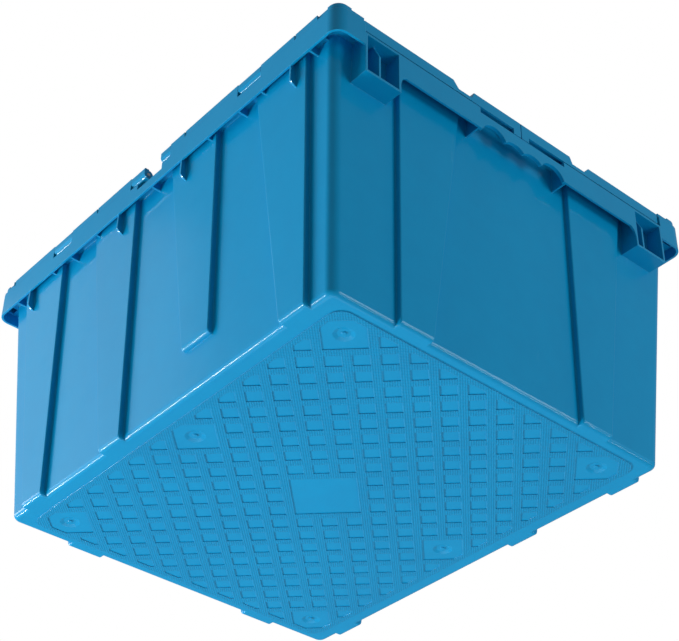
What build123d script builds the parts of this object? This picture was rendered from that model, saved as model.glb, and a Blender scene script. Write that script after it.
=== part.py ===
from build123d import *
import math
import os

# Attached-lid container: one moulded tub, two half-lids that meet in the middle, and four
# steel hinge pins. X runs along the hinge sides, Y across them, Z is up, and the origin is
# on the floor under the middle of the base. All sizes are in millimetres.
#
# The tub turns into itself when it is turned half a turn about Z, so each side is made once
# and turned to give the opposite one. Heights (z) are measured from the floor.

# Overall sizes
RIM_X = 304.5  # half length over the rim skirt
RIM_Y = 251.0  # half width over the rim skirt
RIM_R = 14.0  # corner radius of the rim
BASE_X = 262.0  # half length of the body at the base
BASE_Y = 215.0  # half width of the body at the base
BODY_R = 10.0  # corner radius of the body
DRAFT = 0.083  # outward lean of each wall, mm per mm of height
WALL = 3.0
BASE_FILLET = 6.0

# Base and its anti-slip pad
BAND_Z = 1.0  # underside of the smooth band round the pad
FLOOR_Z = 4.4  # inside floor of the tub
PAD_X = 250.0
PAD_Y = 196.5
PAD_R = 15.0
PAD_EDGE = 6.5  # width of the border band of the pad
LATTICE_HALF = 18.5  # half the diagonal spacing of the lattice bands
LATTICE_BAND = 9.6  # width of a lattice band
CELL_DEPTH = 0.8
DIMPLE_COLUMNS = (-12, 0, 12)  # gate dimples, counted in half diagonals
DIMPLE_ROW = 9
DISH_R = 10.5
DISH_DEPTH = 1.5
NIPPLE_R = 2.6
NIPPLE_H = 1.2

# Proud panels of the walls
PANEL_STEP = 6.0
PANEL_EDGE_R = 1.6
PANEL_FOOT_R = 5.0
PANEL_TOP = 287.0
LONG_PITCH = 142.0
LONG_HALF_LOW = 18.0  # half width of a long-side panel at the base
LONG_HALF_HIGH = 39.0  # and at its top
SHORT_PANEL_FOOT = 48.0  # the third long-side panel stops this high above the floor
END_PANEL_Y = 119.0
END_HALF_LOW = 20.5
END_HALF_HIGH = 41.0

# Rim
SKIRT_T = 2.6
SKIRT_Z = 276.0  # lower edge of the skirt on the hinge sides and round the corners
END_SKIRT_Z = 264.5  # lower edge of the skirt between the box pads of an end
FLANGE_T = 2.5
END_FLANGE_Z = 292.5  # top of the rim along the ends
HINGE_FLANGE_Z = 288.0  # top of the rim along the hinge sides
HINGE_END_X = 275.0  # the hinge walls end here, and the corner bands start
BAND_END_Y = 214.4  # the corner bands end here on the ends
BAND_TOP_Z = 306.5  # top of the rim band round the corners
LEDGE_INSET = 2.0  # a thin ledge stands this far inside the corner band
LEDGE_T = 2.4
LEDGE_TOP_Z = 312.5
CAP_X = 288.0  # inner faces of a corner cap, which rises above the ledge
CAP_Y = 231.0
CAP_TOP_Z = 315.5

# Hinges
AXIS_Y = 245.5
AXIS_Z = 305.5
PIN_R = 2.0
TUB_BORE_R = 2.05
LID_BORE_R = 2.08
BARREL_R = 5.5
PIN_SLACK = 0.5  # from the end of a pin to the end of its bore
PIN_END = 245.0
WALL_TOP_Z = 313.0  # top of the hinge walls
WALL_IN_Y = 238.5  # inner face of the hinge walls
WALL_RIB_T = 3.0
WALL_RIB_PITCH = 28.0
WALL_RUNS = ((36.0, 151.0), (188.0, HINGE_END_X))
NOTCH_RUNS = ((22.0, 36.0), (151.0, 188.0))  # where the skirt stands up in front of a knuckle
NOTCH_Z = 296.0
STRIP_RUNS = ((60.5, 102.0), (240.5, HINGE_END_X - 1))  # where the hinge wall is set back
STRIP_STEP_Z = 306.5
STRIP_BACK = 0.8
STRIP_T = 2.4
STRIP_TOP_Z = 314.4
KNUCKLE_END = 35.6  # outer end of the two middle knuckles
LEFT_KNUCKLE = 11.0  # inner end of the middle knuckle on the -X half of the front lid
RIGHT_KNUCKLE = 18.5  # inner end of the one on its +X half
SIDE_KNUCKLE = (151.6, 187.4)
KNUCKLE_TOP_Z = 312.4  # the flat front of a knuckle rises this high over its barrel

# Ribs under the rim, as distances from the middle of a long side
RIB_T = 2.2
DEEP_RIBS = (57.0, 234.4)
SHORT_RIBS = (101.0, 152.0, 188.5, 262.0)
MIDDLE_RIB = 3.5
DEEP_RIB_Z = 257.0  # lower end of a deep rib's front edge
DEEP_RIB_WALL_Z = 251.0  # and where it meets the wall

# Box pads on the ends: (from y, to y, rib y)
BOX_PADS = ((-BAND_END_Y, -169.3, -196.0), (169.3, BAND_END_Y, 181.0))
BOX_Z = 240.5
BOX_T = 2.5
BOX_RIB_BEND_Z = 271.0  # above this the front edge of a box pad's rib leans back
BOX_RIB_LEAN = 9.0
BLEND_Y = 7.0  # the skirt's lower edge runs into a box pad over this length
BLEND_Z = 12.0

# Hand grips in the middle of the ends
GRIP_HALF = 61.0
GUSSET_Y = 62.3
GRIP_TOP_Z = 286.5
GRIP_T = 4.2
GRIP_CUSP = 25.5  # spacing of the cusps between two fingers
CUSP_R = 1.0
SCALLOP_R = 17.6
INNER_CREST_Z = 272.0  # top of the two middle finger scallops
OUTER_CREST_Z = 277.0  # and of the two outer ones
OUTER_CREST_Y = 42.0

# Lids
LID_TOP_Z = 311.0
LID_PLATE_Z = 304.8
LID_PLATE_T = 2.8
LID_UNDER_Z = 297.0
LID_REST_Z = 292.9  # underside of the rib that rests on the rim of an end
LID_T = 2.5
LID_HINGE_Y = 234.6
LID_BEVEL_Y = 1.5  # bevel along the hinge edge of a lid
LID_BEVEL_Z = 1.5
LID_PLATE_X = 264.0
BORDER_IN_X = 266.0
BORDER_OUT_X = RIM_X - 2
BORDER_HINGE_Y = 213.2
BORDER_EDGE_R = 1.5
LOW_TOP = (103.5, 73.5)  # the border drops between these distances from the middle
LOW_FOOT = (95.5, 77.5)  # and is low between these
LOW_SHIFT = 7.0  # but lies this much nearer the middle at the +X end of the front lid
LOW_BORDER_Z = 301.5
TAB_Y = 11.0  # a small tab hangs into the hand slot from the border's end, this wide
TAB_Z = 290.0
REST_X = 283.5
REST_T = 2.4
LIP_Y = (221.5, 226.0)
LIP_TOP_Z = 307.5
LID_RIB_T = 2.0
LID_RIB_Z = 292.0
LID_RIB_COLUMNS = 9
LID_RIB_ROWS = (160.0, 90.0, 23.0)
LID_RIB_REACH_X = 258.0
LID_EDGE_RIB_Z = 291.0
MEET_GAP = 1.2  # between the meeting edges of the two lids
FINGER_COUNT = 4
FINGER_DEPTH = 15.0  # the meeting line swings this far either side of the middle
FINGER_SLOPE = 10.0
FINGER_SPAN = 236.0  # half length of the fingered part of the meeting line
OPEN_ANGLE = 240.0
OPEN_GAP = 0.3  # from an open lid to the skirt it hangs against


def block(x0, x1, y0, y1, z0, z1):
    """A box between two opposite corners."""
    size = Box(x1 - x0, y1 - y0, z1 - z0)
    return Pos((x0 + x1) / 2, (y0 + y1) / 2, (z0 + z1) / 2) * size


def hexahedron(low, high, z0, z1):
    """A solid with a four-sided foot at z0 and a four-sided top at z1."""
    foot = [Vector(x, y, z0) for x, y in low]
    top = [Vector(x, y, z1) for x, y in high]
    rings = [foot, top]
    for i in range(4):
        j = (i + 1) % 4
        rings.append([foot[i], foot[j], top[j], top[i]])
    faces = [Face(Wire.make_polygon(ring, close=True)) for ring in rings]
    return Solid(Shell(faces))


def corners(x0, x1, y0, y1):
    return [(x0, y0), (x1, y0), (x1, y1), (x0, y1)]


def half_turn(shape):
    return Rot(0, 0, 180) * shape


def both_ways(shapes):
    """The shapes of one side and, turned half a turn about Z, those of the other."""
    return list(shapes) + [half_turn(s) for s in shapes]


def tapered_box(inset, z0, z1, corner_r, foot_r):
    """The body's own shape, shrunk by inset, between two heights, with its edges rounded."""
    x, y = BASE_X - inset, BASE_Y - inset
    d0, d1 = DRAFT * z0, DRAFT * z1
    low = corners(-x - d0, x + d0, -y - d0, y + d0)
    high = corners(-x - d1, x + d1, -y - d1, y + d1)
    solid = hexahedron(low, high, z0, z1)
    uprights = [e for e in solid.edges() if abs(e.tangent_at(0.5).Z) > 0.9]
    solid = solid.fillet(corner_r, uprights)
    foot = solid.faces().sort_by(Axis.Z)[0]
    return solid.fillet(foot_r, foot.edges())


def panel(centre, half_low, half_high, wall, foot_z, inset):
    """A proud panel on the wall that faces -Y, wall being that wall's distance at the floor.
    With an inset it is the hollow behind the panel."""
    rise = foot_z / PANEL_TOP
    half_foot = half_low + (half_high - half_low) * rise - inset
    out0 = wall + DRAFT * foot_z + PANEL_STEP - inset
    out1 = wall + DRAFT * PANEL_TOP + PANEL_STEP - inset
    back = 2 * PANEL_STEP
    low = corners(centre - half_foot, centre + half_foot, -out0, -out0 + back)
    half_top = half_high - inset
    high = corners(centre - half_top, centre + half_top, -out1, -out1 + back)
    solid = hexahedron(low, high, foot_z, PANEL_TOP)
    foot = solid.edges().sort_by(Axis.Z)[:4].sort_by(Axis.Y)[0]
    solid = solid.fillet(PANEL_FOOT_R, [foot])
    front = solid.faces().filter_by(lambda f: f.normal_at().Y < -0.98).sort_by(Axis.Y)[0]
    sides = [e for e in front.edges() if abs(e.tangent_at(0.5).Z) > 0.9]
    arcs = [e for e in solid.edges() if e.geom_type == GeomType.CIRCLE]
    return solid.fillet(PANEL_EDGE_R, sides + arcs)


def long_panels(inset=0.0):
    """The four panels of the long side that faces -Y. The third is the short one."""
    made = []
    for i in range(4):
        foot_z = SHORT_PANEL_FOOT if i == 2 else BAND_Z
        centre = (i - 1.5) * LONG_PITCH
        made.append(panel(centre, LONG_HALF_LOW, LONG_HALF_HIGH, BASE_Y, foot_z + inset, inset))
    return made


def end_panels(inset=0.0):
    """The two panels of the end that faces +X."""
    turn = Rot(0, 0, 90)
    return [
        turn * panel(y, END_HALF_LOW, END_HALF_HIGH, BASE_X, BAND_Z + inset, inset)
        for y in (-END_PANEL_Y, END_PANEL_Y)
    ]


def rim_plan(inset, z0, z1):
    """The rim's outline, shrunk by inset, as a solid between two heights."""
    plan = RectangleRounded(2 * (RIM_X - inset), 2 * (RIM_Y - inset), RIM_R - inset)
    return Pos(0, 0, z0) * extrude(plan, z1 - z0)


def rim_band(thickness, z0, z1):
    return rim_plan(0, z0, z1) - rim_plan(thickness, z0, z1)


def grip_bar():
    """The hand grip of the +X end: a bar with a scalloped lower edge for the fingers."""
    half, low, high = GRIP_HALF, END_SKIRT_Z, GRIP_TOP_Z
    outline = make_face(Polyline((-half, low), (half, low), (half, high), (-half, high), close=True))
    crests = (
        (-OUTER_CREST_Y, OUTER_CREST_Z),
        (-GRIP_CUSP / 2, INNER_CREST_Z),
        (GRIP_CUSP / 2, INNER_CREST_Z),
        (OUTER_CREST_Y, OUTER_CREST_Z),
    )
    for y, z in crests:
        outline -= Pos(y, z - SCALLOP_R) * Circle(SCALLOP_R)
    cusps = [
        v for v in outline.vertices() if abs(v.X) < OUTER_CREST_Y / 2 + 9 and v.Y < INNER_CREST_Z
    ]
    outline = fillet(cusps, CUSP_R)
    bar = extrude(Plane.YZ.offset(RIM_X - GRIP_T) * outline, GRIP_T)
    top = bar.edges().filter_by(Axis.Y).group_by(Axis.Z)[-1]
    return bar.fillet(1.2, top)


def across_gap(y, z0):
    """A plate across the gap between the wall and the skirt of the +X end."""
    reach = BASE_X + DRAFT * z0 - 1
    return block(reach, RIM_X - 1, y - RIB_T / 2, y + RIB_T / 2, z0, END_FLANGE_Z - 1)


def box_rib(y):
    """The rib inside a box pad, whose front edge leans back at the top."""
    inner = BASE_X + DRAFT * BOX_Z + 1
    front = RIM_X - 0.6
    outline = Polyline(
        (inner, BOX_Z + 1),
        (front, BOX_Z + 1),
        (front, BOX_RIB_BEND_Z),
        (front - BOX_RIB_LEAN, END_FLANGE_Z - 1),
        (inner, END_FLANGE_Z - 1),
        close=True,
    )
    return Pos(0, y + 1.1, 0) * extrude(Plane.XZ * make_face(outline), 2.2)


def skirt_blend(y, side):
    """The corner piece where the skirt's lower edge runs into a box pad's wall at y. side is
    +1 where the pad lies on the +Y side of it."""
    outline = Polyline(
        (y, END_SKIRT_Z + 1),
        (y - side * BLEND_Y, END_SKIRT_Z + 1),
        (y - side * BLEND_Y, END_SKIRT_Z),
        (y - side * BLEND_Y * 0.3, END_SKIRT_Z - BLEND_Z * 0.35),
        (y, END_SKIRT_Z - BLEND_Z),
        close=True,
    )
    return extrude(Plane.YZ.offset(RIM_X - SKIRT_T) * make_face(outline), SKIRT_T)


def end_rim_cuts():
    """What is taken out of the plain rim at the +X end: the front of the box pads and the
    hand slot."""
    outside = RIM_X + 5
    made = []
    for y0, y1, _ in BOX_PADS:
        top = END_FLANGE_Z - FLANGE_T
        made.append(block(RIM_X - SKIRT_T - 1, outside, y0, y1, END_SKIRT_Z - 9, top))
    z0, z1 = END_SKIRT_Z - 9, END_FLANGE_Z + 1
    low = corners(BASE_X + DRAFT * z0, outside, -GRIP_HALF, GRIP_HALF)
    high = corners(BASE_X + DRAFT * z1, outside, -GRIP_HALF, GRIP_HALF)
    made.append(hexahedron(low, high, z0, z1))
    return made


def end_rim_parts():
    """What is added to the plain rim at the +X end."""
    made = [grip_bar()]
    inner = BASE_X + DRAFT * BOX_Z - 1
    top = END_FLANGE_Z - 1
    for y0, y1, rib_y in BOX_PADS:
        made.append(block(inner, RIM_X, y0, y1, BOX_Z, BOX_Z + BOX_T))
        made.append(block(inner, RIM_X, y0, y0 + BOX_T, BOX_Z, top))
        made.append(block(inner, RIM_X, y1 - BOX_T, y1, BOX_Z, top))
        made.append(box_rib(rib_y))
    made.append(skirt_blend(BOX_PADS[0][1], -1))
    made.append(skirt_blend(BOX_PADS[1][0], 1))
    made += [across_gap(y, END_SKIRT_Z) for y in (-GUSSET_Y, GUSSET_Y)]
    return made


def deep_rib(x):
    """A deep rib under the rim of the -Y side, with a rounded lower edge."""
    wall = BASE_Y + DRAFT * DEEP_RIB_WALL_Z - 1
    front = RIM_Y - SKIRT_T / 2
    top = HINGE_FLANGE_Z - 1
    with BuildSketch(Plane.YZ.offset(x - RIB_T / 2)) as outline:
        with BuildLine():
            Polyline((-wall, DEEP_RIB_WALL_Z), (-wall, top), (-front, top), (-front, DEEP_RIB_Z))
            ThreePointArc(
                (-front, DEEP_RIB_Z),
                (-(front + wall) / 2 - 1, (DEEP_RIB_Z + DEEP_RIB_WALL_Z) / 2 - 1.5),
                (-wall, DEEP_RIB_WALL_Z),
            )
        make_face()
    return extrude(outline.sketch, RIB_T)


def short_rib(x):
    wall = BASE_Y + DRAFT * SKIRT_Z - 1
    front = RIM_Y - 1
    return block(x - RIB_T / 2, x + RIB_T / 2, -front, -wall, SKIRT_Z, HINGE_FLANGE_Z - 1)


def hinge_wall(x0, x1):
    """One run of the -Y side's hinge wall: a folded wall, open towards the lid, with ribs
    that carry the pin."""
    run = block(x0, x1, -RIM_Y, -WALL_IN_Y, HINGE_FLANGE_Z - 1, WALL_TOP_Z)
    count = max(2, round((x1 - x0) / WALL_RIB_PITCH) + 1)
    step = (x1 - x0 - WALL_RIB_T) / (count - 1)
    for i in range(count - 1):
        a = x0 + WALL_RIB_T + i * step
        b = x0 + (i + 1) * step
        back = -RIM_Y + SKIRT_T
        run -= block(a, b, back, 0, HINGE_FLANGE_Z, WALL_TOP_Z - SKIRT_T)
    return run


def both_halves(x0, x1):
    """The stretch from x0 to x1 and the same one on the other half, lowest end first."""
    return [(x0, x1), (-x1, -x0)]


def hinge_side_parts():
    """What is added along the -Y side."""
    made = [short_rib(MIDDLE_RIB)]
    for run in WALL_RUNS:
        made += [hinge_wall(x0, x1) for x0, x1 in both_halves(*run)]
    for run in NOTCH_RUNS:
        for x0, x1 in both_halves(*run):
            made.append(block(x0, x1, -RIM_Y, -RIM_Y + SKIRT_T, HINGE_FLANGE_Z - 1, NOTCH_Z))
    for side in (-1, 1):
        made += [deep_rib(side * x) for x in DEEP_RIBS]
        made += [short_rib(side * x) for x in SHORT_RIBS]
    return made


def set_back_cuts():
    """The steps in the outer face of the -Y side's hinge walls."""
    return [
        block(x0, x1, -RIM_Y - 1, -RIM_Y + STRIP_BACK, STRIP_STEP_Z, WALL_TOP_Z + 1)
        for run in STRIP_RUNS
        for x0, x1 in both_halves(*run)
    ]


def set_back_strips():
    """The thin strips that stand behind those steps."""
    front = -RIM_Y + STRIP_BACK
    return [
        block(x0 + 0.6, x1 - 0.6, front, front + STRIP_T, WALL_TOP_Z - SKIRT_T, STRIP_TOP_Z)
        for run in STRIP_RUNS
        for x0, x1 in both_halves(*run)
    ]


def pin_span(side):
    """Where the hinge pin on that half of the -Y side starts and ends."""
    start = (RIGHT_KNUCKLE if side > 0 else LEFT_KNUCKLE) - 0.4
    return (start, PIN_END) if side > 0 else (-PIN_END, -start)


def pin_bores():
    made = []
    for side in (-1, 1):
        x0, x1 = pin_span(side)
        length = x1 - x0 + 2 * PIN_SLACK
        bore = Rot(0, 90, 0) * Cylinder(TUB_BORE_R, length)
        made.append(Pos((x0 + x1) / 2, -AXIS_Y, AXIS_Z) * bore)
    return made


def corner_shell(inset, thickness, z0, z1, x_from, y_from):
    """A wall round all four corners of the rim, at that inset, from the given distances on."""
    wall = rim_plan(inset, z0, z1) - rim_plan(inset + thickness, z0, z1)
    made = []
    for sx in (-1, 1):
        for sy in (-1, 1):
            x0, x1 = sorted((sx * x_from, sx * (RIM_X + 5)))
            y0, y1 = sorted((sy * y_from, sy * (RIM_Y + 5)))
            made.append(wall & block(x0, x1, y0, y1, z0, z1))
    return made


def corner_caps():
    """The solid outsides of the four corner caps, and their hollows, open underneath."""
    outsides = []
    hollows = []
    for sx in (-1, 1):
        for sy in (-1, 1):
            for inset, made, z0, z1 in (
                (0.0, outsides, END_FLANGE_Z - 1, CAP_TOP_Z),
                (LEDGE_T, hollows, END_FLANGE_Z - 9, CAP_TOP_Z - LEDGE_T),
            ):
                x0, x1 = sorted((sx * (CAP_X + inset), sx * (RIM_X + 5)))
                y0, y1 = sorted((sy * (CAP_Y + inset), sy * (RIM_Y + 5)))
                plan = rim_plan(LEDGE_INSET + inset, z0, z1)
                made.append(plan & block(x0, x1, y0, y1, z0, z1))
    outsides = [c.fillet(1.2, c.faces().sort_by(Axis.Z)[-1].edges()) for c in outsides]
    return outsides, hollows


def lattice():
    """The cells between the lattice bands, the plain patches round the gate dimples and the
    plain patch in the middle, as one flat sketch."""
    pitch = LATTICE_HALF * math.sqrt(2)
    cell = pitch - LATTICE_BAND
    patches = [(0, 0, 1.5)]
    for column in DIMPLE_COLUMNS:
        for row in (-DIMPLE_ROW, DIMPLE_ROW):
            patches.append((column, row, 1.0))
    squares = []
    for column, row, reach in patches:
        side = 2 * reach * pitch - LATTICE_BAND
        place = Pos(column * LATTICE_HALF, row * LATTICE_HALF) * Rot(0, 0, 45)
        squares.append(place * Rectangle(side, side))
    span_x = int(PAD_X / LATTICE_HALF) + 1
    span_y = int(PAD_Y / LATTICE_HALF) + 1
    for column in range(-span_x, span_x + 1):
        for row in range(-span_y, span_y + 1):
            if (column + row) % 2:
                continue
            taken = any(
                abs(column - c) + abs(row - r) < 2 * reach for c, r, reach in patches
            )
            if not taken:
                place = Pos(column * LATTICE_HALF, row * LATTICE_HALF) * Rot(0, 0, 45)
                squares.append(place * Rectangle(cell, cell))
    limit = RectangleRounded(
        2 * (PAD_X - PAD_EDGE), 2 * (PAD_Y - PAD_EDGE), PAD_R - PAD_EDGE
    )
    return (Sketch() + squares) & limit


def dimple_cut(x, y):
    """A shallow dish round a gate mark."""
    z = CELL_DEPTH
    dish = Cone(DISH_R, DISH_R - 4, DISH_DEPTH, align=(Align.CENTER, Align.CENTER, Align.MIN))
    return Pos(x, y, z) * dish


def dimple_nipple(x, y):
    """The rounded stub of the gate in the middle of its dish."""
    top = CELL_DEPTH + DISH_DEPTH + 0.5
    stub = Cylinder(NIPPLE_R, NIPPLE_H + 0.5, align=(Align.CENTER, Align.CENTER, Align.MAX))
    stub = Pos(x, y, top) * stub
    low = stub.edges().sort_by(Axis.Z)[0]
    return stub.fillet(0.9, [low])


def make_rim():
    """The plain rim: a flange round the top and a skirt that hangs from it, lower between the
    box pads of the ends."""
    flange_low = END_FLANGE_Z - FLANGE_T
    rim = rim_plan(0, flange_low, END_FLANGE_Z) + rim_band(SKIRT_T, SKIRT_Z, END_FLANGE_Z)
    y0, y1 = BOX_PADS[0][1], BOX_PADS[1][0]
    skirt = block(RIM_X - SKIRT_T, RIM_X, y0, y1, END_SKIRT_Z, END_FLANGE_Z)
    rim = rim.fuse(*both_ways([skirt]))
    trough = block(
        -HINGE_END_X, HINGE_END_X, -RIM_Y - 5, -WALL_IN_Y + 9, HINGE_FLANGE_Z, END_FLANGE_Z + 9
    )
    return rim.cut(*both_ways([trough]), *both_ways(end_rim_cuts()))


def make_tub():
    body = tapered_box(0, BAND_Z, END_FLANGE_Z, BODY_R, BASE_FILLET)
    body = body.fuse(*both_ways(long_panels() + end_panels()))

    # Along the hinge sides the top of the body lies lower, and the hinge walls stand on it.
    inner_y = BASE_Y + DRAFT * HINGE_FLANGE_Z - 9
    trough = block(
        -HINGE_END_X, HINGE_END_X, -RIM_Y - 5, -inner_y, HINGE_FLANGE_Z, END_FLANGE_Z + 9
    )
    body = body.cut(*both_ways([trough]))
    wall_y = BASE_Y + DRAFT * HINGE_FLANGE_Z - 1
    low = HINGE_FLANGE_Z - FLANGE_T
    added = [make_rim()]
    shelf = [block(-HINGE_END_X - 1, HINGE_END_X + 1, -RIM_Y + 1, -wall_y, low, HINGE_FLANGE_Z)]
    for x0, x1 in both_halves(HINGE_END_X, HINGE_END_X + FLANGE_T):
        shelf.append(block(x0, x1, -RIM_Y + 1, -wall_y, low, END_FLANGE_Z))
    added += both_ways(shelf + hinge_side_parts() + end_rim_parts())

    # Round each corner stand the band, a thin ledge inside it and a cap.
    foot = END_FLANGE_Z - 1
    added += corner_shell(0, SKIRT_T, foot, BAND_TOP_Z, HINGE_END_X, BAND_END_Y)
    added += corner_shell(LEDGE_INSET, LEDGE_T, foot, LEDGE_TOP_Z, HINGE_END_X + 1, BAND_END_Y + 0.6)
    caps, cap_hollows = corner_caps()
    body = body.fuse(*added, *caps)

    # The hollow inside, the steps in the hinge walls and the bores.
    hollow = tapered_box(WALL, FLOOR_Z, END_FLANGE_Z + 9, BODY_R - WALL, BASE_FILLET - 1.5)
    behind = both_ways(long_panels(WALL) + end_panels(WALL))
    body = body.cut(hollow, *behind, *cap_hollows, *both_ways(set_back_cuts()))
    body = body.fuse(*both_ways(set_back_strips()))
    body = body.cut(*both_ways(pin_bores()))

    # The anti-slip pad under the base.
    pad = extrude(RectangleRounded(2 * PAD_X, 2 * PAD_Y, PAD_R), BAND_Z + 0.5)
    body = body.fuse(pad)
    body = body.cut(*extrude(lattice(), CELL_DEPTH).solids())
    spots = [
        (c * LATTICE_HALF, r * LATTICE_HALF)
        for c in DIMPLE_COLUMNS
        for r in (-DIMPLE_ROW, DIMPLE_ROW)
    ]
    body = body.cut(*[dimple_cut(x, y) for x, y in spots])
    return body.fuse(*[dimple_nipple(x, y) for x, y in spots])


def meeting_line(shift):
    """Points along the meeting edge, from -X to +X, set off by shift square to the edge. The
    edge swings to one side and the other, so the two lids have fingers that lie between
    each other."""
    pitch = 2 * FINGER_SPAN / FINGER_COUNT
    lean = FINGER_SLOPE / 2
    line = [(-RIM_X - 5, 0.0)]
    for i in range(2 * FINGER_COUNT):
        x0 = -FINGER_SPAN + i * pitch / 2
        x1 = x0 + pitch / 2
        swing = FINGER_DEPTH if i % 2 else -FINGER_DEPTH
        start = x0 if i == 0 else x0 + lean
        if i == 0:
            line.append((x0 - lean, 0.0))
        line.append((start, swing))
        line.append((x1 - lean if i < 2 * FINGER_COUNT - 1 else x1, swing))
    line.append((FINGER_SPAN + lean, 0.0))
    line.append((RIM_X + 5, 0.0))
    points = []
    for i, (x, y) in enumerate(line):
        ax, ay = line[max(i - 1, 0)]
        bx, by = line[min(i + 1, len(line) - 1)]
        one = math.atan2(y - ay, x - ax) if i else 0.0
        two = math.atan2(by - y, bx - x) if i < len(line) - 1 else 0.0
        middle = (one + two) / 2
        reach = shift / math.cos((two - one) / 2)
        points.append((x - reach * math.sin(middle), y + reach * math.cos(middle)))
    return points


def lid_side(shift, z0, z1):
    """Everything on the -Y side of the meeting line, between two heights."""
    line = meeting_line(shift)
    outline = Polyline(*line, (RIM_X + 5, -RIM_Y), (-RIM_X - 5, -RIM_Y), close=True)
    return Pos(0, 0, z0) * extrude(make_face(outline), z1 - z0)


def border(end):
    """The raised border at one end of the front lid. It drops once, is hollow underneath, and
    has a rib that rests on the tub's rim."""
    x0, x1 = sorted((end * BORDER_IN_X, end * BORDER_OUT_X))
    near = -MEET_GAP / 2
    shift = LOW_SHIFT if end > 0 else 0
    drop = (-LOW_TOP[0] + shift, -LOW_TOP[1] + shift)
    outline = Polyline(
        (-BORDER_HINGE_Y, LID_UNDER_Z),
        (-BORDER_HINGE_Y, LID_TOP_Z),
        (drop[0], LID_TOP_Z),
        (-LOW_FOOT[0] + shift, LOW_BORDER_Z),
        (-LOW_FOOT[1] + shift, LOW_BORDER_Z),
        (drop[1], LID_TOP_Z),
        (near, LID_TOP_Z),
        (near, LID_UNDER_Z),
        close=True,
    )
    run = extrude(Plane.YZ.offset(x0) * make_face(outline), x1 - x0)
    top = [e for e in run.edges().filter_by(Axis.Y) if e.center().Z > LID_TOP_Z - 0.1]
    run = run.fillet(BORDER_EDGE_R, top)
    rest = sorted((end * REST_X, end * (REST_X + REST_T)))
    spans = (
        (-BORDER_HINGE_Y + LID_T, drop[0] - LID_T),
        (drop[1] + LID_T, near - LID_T),
    )
    for y0, y1 in spans:
        run -= block(x0 + LID_T, x1 - LID_T, y0, y1, LID_UNDER_Z - 1, LID_TOP_Z - LID_T)
    for y0, y1 in spans:
        run += block(*rest, y0 - 1, y1 + 1, LID_REST_Z, LID_TOP_Z - 1)
    run += block(*rest, spans[0][1] - 1, spans[1][0] + 1, LID_REST_Z, LOW_BORDER_Z - 1)
    tab = sorted((end * (BORDER_OUT_X - LID_T), end * BORDER_OUT_X))
    return run + block(*tab, -TAB_Y, near, TAB_Z, LID_UNDER_Z + 1)


def lid_arm(x0, x1):
    """A hinge knuckle and the arm that joins it to the lid, on the -Y side. The arm's upper
    side is the line that lies against the skirt when the lid is wide open."""
    tilt = math.radians(OPEN_ANGLE - 180)
    reach = RIM_Y - AXIS_Y + OPEN_GAP
    along = (math.sin(tilt), math.cos(tilt))
    across = (math.cos(tilt), -math.sin(tilt))
    far = (AXIS_Y - LID_HINGE_Y - across[0] * reach) / along[0]

    def at(run, depth):
        y = -AXIS_Y + across[0] * depth + along[0] * run
        return (y, AXIS_Z + across[1] * depth + along[1] * run)

    plate_low = LID_PLATE_Z - LID_PLATE_T
    outline = Polyline(
        at(0, 0),
        at(3.6, 2.4),
        at(5.6, reach),
        at(far, reach),
        (-LID_HINGE_Y + 1, at(far, reach)[1]),
        (-LID_HINGE_Y + 1, plate_low - 5),
        (-LID_HINGE_Y - 2, plate_low - 6),
        at(0, BARREL_R + 2.6),
        at(-3, BARREL_R - 1),
        close=True,
    )
    arm = extrude(Plane.YZ.offset(x0) * make_face(outline), x1 - x0)
    barrel = Pos((x0 + x1) / 2, -AXIS_Y, AXIS_Z) * Rot(0, 90, 0) * Cylinder(BARREL_R, x1 - x0)
    front = block(x0, x1, -AXIS_Y - BARREL_R, -AXIS_Y, AXIS_Z, KNUCKLE_TOP_Z)
    outer = front.edges().filter_by(Axis.X).group_by(Axis.Y)[0].sort_by(Axis.Z)[-1]
    return arm + barrel + front.fillet(1.0, [outer])


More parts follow.
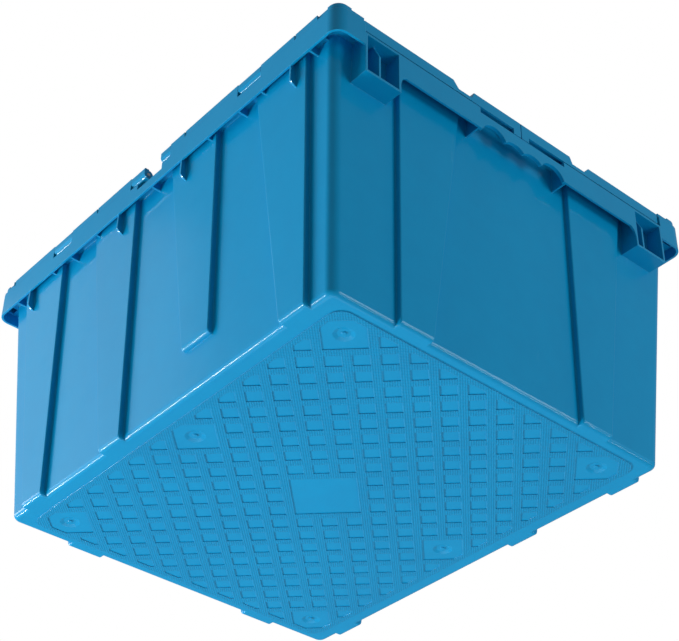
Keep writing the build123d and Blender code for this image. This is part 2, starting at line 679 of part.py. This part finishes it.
def make_lid():
    """The half-lid that is hinged on the -Y side."""
    plate_low = LID_PLATE_Z - LID_PLATE_T
    meet = FINGER_DEPTH + 5
    plate = block(-LID_PLATE_X, LID_PLATE_X, -LID_HINGE_Y, meet, plate_low, LID_PLATE_Z)
    hinge_edge = plate.edges().filter_by(Axis.X).group_by(Axis.Y)[0].sort_by(Axis.Z)[-1]
    hinge_top = plate.faces().sort_by(Axis.Z)[-1]
    plate = plate.chamfer(LID_BEVEL_Y, LID_BEVEL_Z, [hinge_edge], hinge_top)
    inner = block(
        -BORDER_IN_X - 1, BORDER_IN_X + 1, -BORDER_HINGE_Y, meet, plate_low, LID_PLATE_Z
    )
    lip = block(-LID_PLATE_X, LID_PLATE_X, -LIP_Y[1], -LIP_Y[0], plate_low, LIP_TOP_Z)
    lip = lip.fillet(0.9, lip.faces().sort_by(Axis.Z)[-1].edges())
    edge_in = -LID_HINGE_Y + LID_RIB_T + 0.4
    reach_x = LID_RIB_REACH_X
    edge_rib = block(-reach_x, reach_x, -LID_HINGE_Y, edge_in, LID_EDGE_RIB_Z, plate_low + 0.5)
    ribs = []
    for i in range(LID_RIB_COLUMNS):
        x = (i / (LID_RIB_COLUMNS - 1) * 2 - 1) * (LID_RIB_REACH_X - LID_RIB_T / 2)
        a, b = x - LID_RIB_T / 2, x + LID_RIB_T / 2
        ribs.append(block(a, b, -LID_HINGE_Y + 1, meet, LID_RIB_Z, plate_low + 1))
    for y in LID_RIB_ROWS:
        a, b = -y - LID_RIB_T / 2, -y + LID_RIB_T / 2
        ribs.append(block(-reach_x, reach_x, a, b, LID_RIB_Z, plate_low + 1))
    lid = plate.fuse(inner, lip, edge_rib, *ribs)
    lid = lid & lid_side(-MEET_GAP / 2, LID_EDGE_RIB_Z - 5, LID_TOP_Z + 5)
    knuckles = [(-KNUCKLE_END, -LEFT_KNUCKLE), (RIGHT_KNUCKLE, KNUCKLE_END)]
    knuckles += both_halves(*SIDE_KNUCKLE)
    lid = lid.fuse(border(-1), border(1), *[lid_arm(x0, x1) for x0, x1 in knuckles])
    bore = Rot(0, 90, 0) * Cylinder(LID_BORE_R, 2 * HINGE_END_X)
    return lid - Pos(0, -AXIS_Y, AXIS_Z) * bore


def make_pin(side):
    """The hinge pin on one half of the -Y side, with a small chamfer at each end."""
    x0, x1 = pin_span(side)
    pin = Rot(0, 90, 0) * Cylinder(PIN_R, x1 - x0)
    pin = pin.chamfer(0.4, 0.4, pin.edges().filter_by(GeomType.CIRCLE))
    return Pos((x0 + x1) / 2, -AXIS_Y, AXIS_Z) * pin


front_lid = make_lid()
pieces = {
    "tub": make_tub(),
    "front_lid": front_lid,
    "rear_lid": half_turn(front_lid),
    "front_left_hinge_pin": make_pin(-1),
    "front_right_hinge_pin": make_pin(1),
    "rear_left_hinge_pin": half_turn(make_pin(1)),
    "rear_right_hinge_pin": half_turn(make_pin(-1)),
}

os.makedirs("parts", exist_ok=True)
for name, shape in pieces.items():
    solids = shape.solids()
    export_step(solids[0] if len(solids) == 1 else Compound(solids), f"parts/{name}.step")
    print(name, "solids", len(solids), "volume", round(sum(s.volume for s in solids)))
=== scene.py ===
"""Attached-lid container: its finishes, and the studio and camera round it.

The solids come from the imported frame. This script gives each of them its finish: moulded
polypropylene on the tub and the two half-lids, and drawn steel wire on the hinge pins.
"""

import math

import bpy
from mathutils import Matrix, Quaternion, Vector


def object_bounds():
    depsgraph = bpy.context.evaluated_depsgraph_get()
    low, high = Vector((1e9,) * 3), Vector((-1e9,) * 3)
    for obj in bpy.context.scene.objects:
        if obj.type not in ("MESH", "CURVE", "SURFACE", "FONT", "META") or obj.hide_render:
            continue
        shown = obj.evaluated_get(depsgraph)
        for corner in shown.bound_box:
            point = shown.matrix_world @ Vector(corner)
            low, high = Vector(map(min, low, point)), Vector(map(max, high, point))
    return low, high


bl_info = {
    "name": "Attached-lid container",
    "version": (1, 0, 0),
    "blender": (4, 5, 0),
    "location": "View3D > Sidebar > Container",
    "description": "Finishes of an attached-lid container, with a plain studio round it",
    "category": "Object",
}

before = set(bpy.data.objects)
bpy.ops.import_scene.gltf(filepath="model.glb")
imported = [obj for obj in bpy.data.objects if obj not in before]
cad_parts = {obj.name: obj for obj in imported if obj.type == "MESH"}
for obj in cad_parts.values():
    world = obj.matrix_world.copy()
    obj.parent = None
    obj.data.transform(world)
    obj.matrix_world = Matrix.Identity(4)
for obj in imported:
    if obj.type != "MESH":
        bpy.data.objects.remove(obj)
CAD_LOW, CAD_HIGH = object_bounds()
MIDDLE = (CAD_LOW + CAD_HIGH) / 2
MM = 0.001

EDGE_HIGHLIGHT_AND_WEAR = "#49aad6"  # outer edges painted paler: a painted highlight, with a little rubbing
SCUFF = "#86bfdb"
# painted shade: colour painted into the knurl's valleys
PAINTED_KNURL_SHADE = "#005c92"
SHEEN = "#6cc4f0"  # tint of the skin's wide sheen
EDGE_SOFTNESS = 0.9 * MM  # radius that the mould leaves on every edge
KNURL_PITCH = 3.4 * MM

SKY = 1.0  # the white that the camera sees round the container
SKY_ON_CONTAINER = 0.26  # and what the same white air casts on it

# Studio lights: name, place, size and watts.
LIGHTS = (
    ("key_left", (-3.4, -2.0, 0.3), (1.3, 1.3), 78),
    ("sheen_left", (-3.7, -2.1, 2.1), (1.8, 1.8), 9),
    ("fill_right", (2.8, 1.5, -0.1), (1.2, 1.2), 30),
    ("under", (-0.6, 0.2, -2.2), (2.0, 2.0), 14),
    ("edge_strip", (-2.0, -1.75, -1.45), (1.6, 0.05), 78),
    ("edge_strip_right", (2.2, 1.7, -1.45), (1.6, 0.06), 14),
)


def linear(hex_colour):
    """An sRGB hex colour as linear red, green, blue and alpha."""
    channels = [int(hex_colour[i : i + 2], 16) / 255 for i in (1, 3, 5)]
    low = [c / 12.92 if c <= 0.04045 else ((c + 0.055) / 1.055) ** 2.4 for c in channels]
    return (*low, 1.0)


class Recipe:
    """A material under construction, with a short way to add and link its nodes."""

    def __init__(self, name):
        self.material = bpy.data.materials.new(name)
        self.material.use_nodes = True
        self.tree = self.material.node_tree
        self.shader = self.tree.nodes["Principled BSDF"]
        self.place = self.add("ShaderNodeTexCoord").outputs["Object"]

    def add(self, kind, settings=None, **links):
        """A node of that kind. settings are its own properties, and each link is a value or
        an output for the input of that name, with _ for a space, or for input in0 to in2."""
        node = self.tree.nodes.new(kind)
        for key, value in (settings or {}).items():
            setattr(node, key, value)
        for key, value in links.items():
            if key in ("in0", "in1", "in2"):
                socket = node.inputs[int(key[-1])]
            else:
                wanted = key.replace("_", " ")
                socket = next(s for s in node.inputs if s.name == wanted and s.enabled)
            self.feed(socket, value)
        return node

    def feed(self, socket, value):
        if isinstance(value, bpy.types.NodeSocket):
            self.tree.links.new(value, socket)
        else:
            socket.default_value = value

    def math(self, operation, a, b=0.0, c=0.0):
        node = self.add("ShaderNodeMath", {"operation": operation}, in0=a, in1=b, in2=c)
        return node.outputs[0]

    def noise(self, size, detail=3.0, roughness=0.5, stretch=(1, 1, 1)):
        """Noise whose largest grains are about size across, in metres."""
        where = self.place
        if stretch != (1, 1, 1):
            where = self.add("ShaderNodeMapping", None, Vector=where, Scale=stretch).outputs[0]
        made = self.add(
            "ShaderNodeTexNoise", None, Vector=where, Scale=1 / size, Detail=detail, Roughness=roughness
        )
        return made.outputs["Fac"]

    def ramp(self, value, low, high, to_low=0.0, to_high=1.0):
        """value taken from low..high to to_low..to_high, and held there beyond."""
        made = self.add(
            "ShaderNodeMapRange",
            None,
            Value=value,
            From_Min=low,
            From_Max=high,
            To_Min=to_low,
            To_Max=to_high,
        )
        return made.outputs["Result"]

    def mix(self, amount, a, b):
        made = self.add("ShaderNodeMix", {"data_type": "RGBA"})
        self.feed(made.inputs["Factor"], amount)
        self.feed(made.inputs["A"], a)
        self.feed(made.inputs["B"], b)
        return made.outputs["Result"]


def moulded_polypropylene(name, colour, deep_colour, roughness, knurled):
    """Injection-moulded polypropylene, pigmented right through and taken from a steel mould:
    it looks satin, with a soft wide sheen, a faint orange-peel skin and outer edges painted
    paler, a painted highlight along them with a little rubbing. knurled adds the fine pyramids
    of the anti-slip bands under the base, with painted shade in their valleys."""
    r = Recipe(name)
    shader = r.shader

    flow = r.noise(140 * MM, 2.0, 0.5, (1.0, 1.0, 0.35))
    cloud = r.noise(22 * MM, 4.0, 0.55)
    tone = r.math("MULTIPLY_ADD", cloud, 0.35, r.math("MULTIPLY", flow, 0.65))
    pigment = r.mix(r.ramp(tone, 0.35, 0.65), linear(deep_colour), linear(colour))

    # Outer edges painted paler: a painted highlight along them, with a little rubbing from handling.
    soft = r.add("ShaderNodeBevel", {"samples": 6}, Radius=1.3 * MM).outputs[0]
    flat = r.add("ShaderNodeNewGeometry").outputs["Normal"]
    same = r.add("ShaderNodeVectorMath", {"operation": "DOT_PRODUCT"}, in0=soft, in1=flat)
    edge = r.ramp(same.outputs["Value"], 0.995, 0.9)
    edge_highlight_and_wear = r.math("MULTIPLY", edge, r.ramp(r.noise(9 * MM, 4.0, 0.6), 0.3, 0.62, 0.15, 0.5))
    pigment = r.mix(edge_highlight_and_wear, pigment, linear(EDGE_HIGHLIGHT_AND_WEAR))

    # Scuffs: short faint lines where it slid on shelves and conveyors.
    scuff = r.noise(26 * MM, 6.0, 0.72, (1.0, 1.0, 0.16))
    scuff = r.ramp(scuff, 0.66, 0.78, 0.0, 0.14)
    pigment = r.mix(scuff, pigment, linear(SCUFF))

    handling = r.ramp(r.noise(38 * MM, 5.0, 0.65), 0.5, 0.72)
    skin = r.noise(1.6 * MM, 2.0, 0.5)
    grain = r.noise(0.7 * MM, 1.0, 0.5)
    relief = r.math("MULTIPLY_ADD", grain, 0.4, skin)
    gloss = r.math("MULTIPLY_ADD", handling, 0.08, roughness)
    gloss = r.math("MULTIPLY_ADD", cloud, 0.08, gloss)

    rounded = r.add("ShaderNodeBevel", {"samples": 6}, Radius=EDGE_SOFTNESS).outputs[0]
    bump = r.add("ShaderNodeBump", None, Strength=0.12, Distance=0.05 * MM, Height=relief)
    r.feed(bump.inputs["Normal"], rounded)
    normal = bump.outputs[0]

    # The knurl covers only the lowest skin: the bands between the base's cells.
    if knurled:
        along = r.add("ShaderNodeSeparateXYZ", None, Vector=r.place)
        x, y, z = along.outputs
        rows = r.math("PINGPONG", r.math("ADD", x, y), KNURL_PITCH / 2)
        columns = r.math("PINGPONG", r.math("SUBTRACT", y, x), KNURL_PITCH / 2)
        pyramid = r.math("DIVIDE", r.math("ADD", rows, columns), KNURL_PITCH)
        lowest = r.ramp(z, 0.25 * MM, 0.1 * MM)
        field = r.math("MULTIPLY", pyramid, lowest)
        knurl = r.add("ShaderNodeBump", None, Strength=1.0, Distance=0.6 * MM, Height=field)
        r.feed(knurl.inputs["Normal"], normal)
        normal = knurl.outputs[0]
        # Painted shade: the knurl's valleys are painted darker, on the lowest skin only.
        painted_valley_shade = r.math("MULTIPLY", lowest, r.ramp(pyramid, 0.25, 0.75, 0.22, 0.0))
        pigment = r.mix(painted_valley_shade, pigment, linear(PAINTED_KNURL_SHADE))

    r.feed(shader.inputs["Base Color"], pigment)
    r.feed(shader.inputs["Roughness"], gloss)
    r.feed(shader.inputs["Normal"], normal)
    shader.inputs["IOR"].default_value = 1.49
    shader.inputs["Specular IOR Level"].default_value = 0.2
    shader.inputs["Specular Tint"].default_value = linear(SHEEN)
    shader.inputs["Coat Weight"].default_value = 0.45
    shader.inputs["Coat Roughness"].default_value = 0.12
    shader.inputs["Coat IOR"].default_value = 1.42
    return r.material


def drawn_steel(name):
    """Zinc-plated steel wire, drawn through a die: bright and cool, with fine lines along it."""
    r = Recipe(name)
    lines = r.noise(0.5 * MM, 2.0, 0.5, (0.04, 1.0, 1.0))
    plating = r.noise(6 * MM, 3.0, 0.6)
    r.feed(r.shader.inputs["Base Color"], r.mix(plating, linear("#9c9fa1"), linear("#c3c5c6")))
    r.feed(r.shader.inputs["Roughness"], r.ramp(plating, 0.3, 0.7, 0.24, 0.38))
    bump = r.add("ShaderNodeBump", None, Strength=0.25, Distance=0.02 * MM, Height=lines)
    r.feed(r.shader.inputs["Normal"], bump.outputs[0])
    r.shader.inputs["Metallic"].default_value = 1.0
    return r.material


def dress(node, material):
    """Gives a CAD node its finish."""
    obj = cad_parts[node]
    obj.data.materials.clear()
    obj.data.materials.append(material)


def softbox(name, place, size, watts):
    """A white studio light at a place, aimed at the middle of the container."""
    data = bpy.data.lights.new(name, "AREA")
    data.shape = "RECTANGLE"
    data.size, data.size_y = size
    data.energy = watts
    lamp = bpy.data.objects.new(name, data)
    lamp.location = place
    lamp.rotation_euler = (MIDDLE - Vector(place)).to_track_quat("-Z", "Y").to_euler()
    bpy.context.scene.collection.objects.link(lamp)


class ContainerColours(bpy.types.PropertyGroup):
    """The colours a user would change."""

    body: bpy.props.StringProperty(
        name="Body", description="Main sRGB colour of the polypropylene", default="#0092c8"
    )
    body_deep: bpy.props.StringProperty(
        name="Body, deep", description="sRGB colour where the pigment lies denser", default="#008cc2"
    )
    roughness: bpy.props.FloatProperty(
        name="Roughness", description="Roughness of the moulded skin", default=0.38, min=0, max=1
    )


class ContainerStudio(bpy.types.PropertyGroup):
    """Where the camera and the floor stand."""

    azimuth: bpy.props.FloatProperty(
        name="Azimuth", description="Camera's bearing from -Y towards +X, in degrees", default=49.84
    )
    elevation: bpy.props.FloatProperty(
        name="Elevation", description="Camera's height over the horizon, in degrees", default=-37.35
    )
    roll: bpy.props.FloatProperty(
        name="Roll", description="Camera's turn about its own line of sight, in degrees", default=0.924
    )
    distance: bpy.props.FloatProperty(
        name="Distance",
        description="From the camera to the point it looks at",
        default=1.7564,
        unit="LENGTH",
    )
    aim: bpy.props.FloatVectorProperty(
        name="Aim",
        description="The point the camera looks at, from the middle of the container",
        default=(0.0340, -0.0134, 0.0437),
        subtype="XYZ",
        unit="LENGTH",
    )
    focal_length: bpy.props.FloatProperty(
        name="Focal length", description="Lens of the camera, in millimetres", default=85.66
    )
    floor_drop: bpy.props.FloatProperty(
        name="Floor drop",
        description="How far the studio floor lies below the container",
        default=2.6,
        unit="LENGTH",
    )


class CONTAINER_OT_tub(bpy.types.Operator):
    """Finish the tub in moulded polypropylene"""

    bl_idname = "container.tub"
    bl_label = "Finish the tub"

    def execute(self, context):
        colours = context.scene.container_colours
        material = moulded_polypropylene(
            "moulded_polypropylene_tub", colours.body, colours.body_deep, colours.roughness, True
        )
        dress("tub", material)
        return {"FINISHED"}


class CONTAINER_OT_lids(bpy.types.Operator):
    """Finish the two half-lids in moulded polypropylene"""

    bl_idname = "container.lids"
    bl_label = "Finish the lids"

    def execute(self, context):
        colours = context.scene.container_colours
        material = moulded_polypropylene(
            "moulded_polypropylene_lid", colours.body, colours.body_deep, colours.roughness, False
        )
        for node in ("front_lid", "rear_lid"):
            dress(node, material)
        return {"FINISHED"}


class CONTAINER_OT_pins(bpy.types.Operator):
    """Finish the four hinge pins in drawn steel wire"""

    bl_idname = "container.pins"
    bl_label = "Finish the hinge pins"

    def execute(self, context):
        material = drawn_steel("drawn_steel_hinge_wire")
        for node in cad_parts:
            if node.endswith("hinge_pin"):
                dress(node, material)
        return {"FINISHED"}


class CONTAINER_OT_stage(bpy.types.Operator):
    """Set up the pale studio: its floor, its lights and the camera"""

    bl_idname = "container.stage"
    bl_label = "Set up the studio"

    def execute(self, context):
        studio = context.scene.container_studio
        self.lay_floor(context, studio)
        self.light_world(context)
        for light in LIGHTS:
            softbox(*light)
        self.set_camera(context, studio)
        return {"FINISHED"}

    def lay_floor(self, context, studio):
        bpy.ops.mesh.primitive_circle_add(
            vertices=96, radius=40, fill_type="NGON", location=(0, 0, -studio.floor_drop)
        )
        floor = context.object
        floor.name = "studio_floor"
        paint = Recipe("pale_studio_floor")
        paint.shader.inputs["Base Color"].default_value = linear("#e9e9e8")
        paint.shader.inputs["Roughness"].default_value = 0.9
        floor.data.materials.append(paint.material)

    def light_world(self, context):
        world = bpy.data.worlds.new("studio_air")
        context.scene.world = world
        world.use_nodes = True
        nodes, links = world.node_tree.nodes, world.node_tree.links
        seen = nodes["Background"]
        seen.inputs["Color"].default_value = (1, 1, 1, 1)
        seen.inputs["Strength"].default_value = SKY
        cast = nodes.new("ShaderNodeBackground")
        cast.inputs["Color"].default_value = (1, 1, 1, 1)
        cast.inputs["Strength"].default_value = SKY_ON_CONTAINER
        path = nodes.new("ShaderNodeLightPath")
        pick = nodes.new("ShaderNodeMixShader")
        links.new(path.outputs["Is Camera Ray"], pick.inputs["Fac"])
        links.new(cast.outputs[0], pick.inputs[1])
        links.new(seen.outputs[0], pick.inputs[2])
        links.new(pick.outputs[0], nodes["World Output"].inputs["Surface"])

    def set_camera(self, context, studio):
        azimuth, elevation = math.radians(studio.azimuth), math.radians(studio.elevation)
        back = Vector(
            (
                math.sin(azimuth) * math.cos(elevation),
                -math.cos(azimuth) * math.cos(elevation),
                math.sin(elevation),
            )
        )
        data = bpy.data.cameras.new("camera")
        data.sensor_width = 36
        data.lens = studio.focal_length
        data.clip_start, data.clip_end = 0.05, 200
        camera = bpy.data.objects.new("camera", data)
        camera.location = MIDDLE + Vector(studio.aim) + back * studio.distance
        look = (-back).to_track_quat("-Z", "Y")
        camera.rotation_mode = "QUATERNION"
        camera.rotation_quaternion = look @ Quaternion((0, 0, 1), math.radians(studio.roll))
        context.scene.collection.objects.link(camera)
        context.scene.camera = camera
        context.scene.view_settings.view_transform = "Standard"


class CONTAINER_PT_panel(bpy.types.Panel):
    """The container's tools in the sidebar"""

    bl_idname = "CONTAINER_PT_panel"
    bl_label = "Attached-lid container"
    bl_space_type = "VIEW_3D"
    bl_region_type = "UI"
    bl_category = "Container"

    def draw(self, context):
        column = self.layout.column()
        for name in ("body", "body_deep", "roughness"):
            column.prop(context.scene.container_colours, name)
        for name in ("azimuth", "elevation", "roll", "distance", "aim", "focal_length", "floor_drop"):
            column.prop(context.scene.container_studio, name)
        for operator in OPERATORS:
            column.operator(operator.bl_idname)


OPERATORS = (CONTAINER_OT_tub, CONTAINER_OT_lids, CONTAINER_OT_pins, CONTAINER_OT_stage)
CLASSES = (ContainerColours, ContainerStudio, *OPERATORS, CONTAINER_PT_panel)


def register():
    for cls in CLASSES:
        bpy.utils.register_class(cls)
    bpy.types.Scene.container_colours = bpy.props.PointerProperty(type=ContainerColours)
    bpy.types.Scene.container_studio = bpy.props.PointerProperty(type=ContainerStudio)


def unregister():
    del bpy.types.Scene.container_studio
    del bpy.types.Scene.container_colours
    for cls in reversed(CLASSES):
        bpy.utils.unregister_class(cls)


def main():
    register()
    bpy.ops.container.tub()
    bpy.ops.container.lids()
    bpy.ops.container.pins()
    bpy.ops.container.stage()


if __name__ == "__main__":
    main()
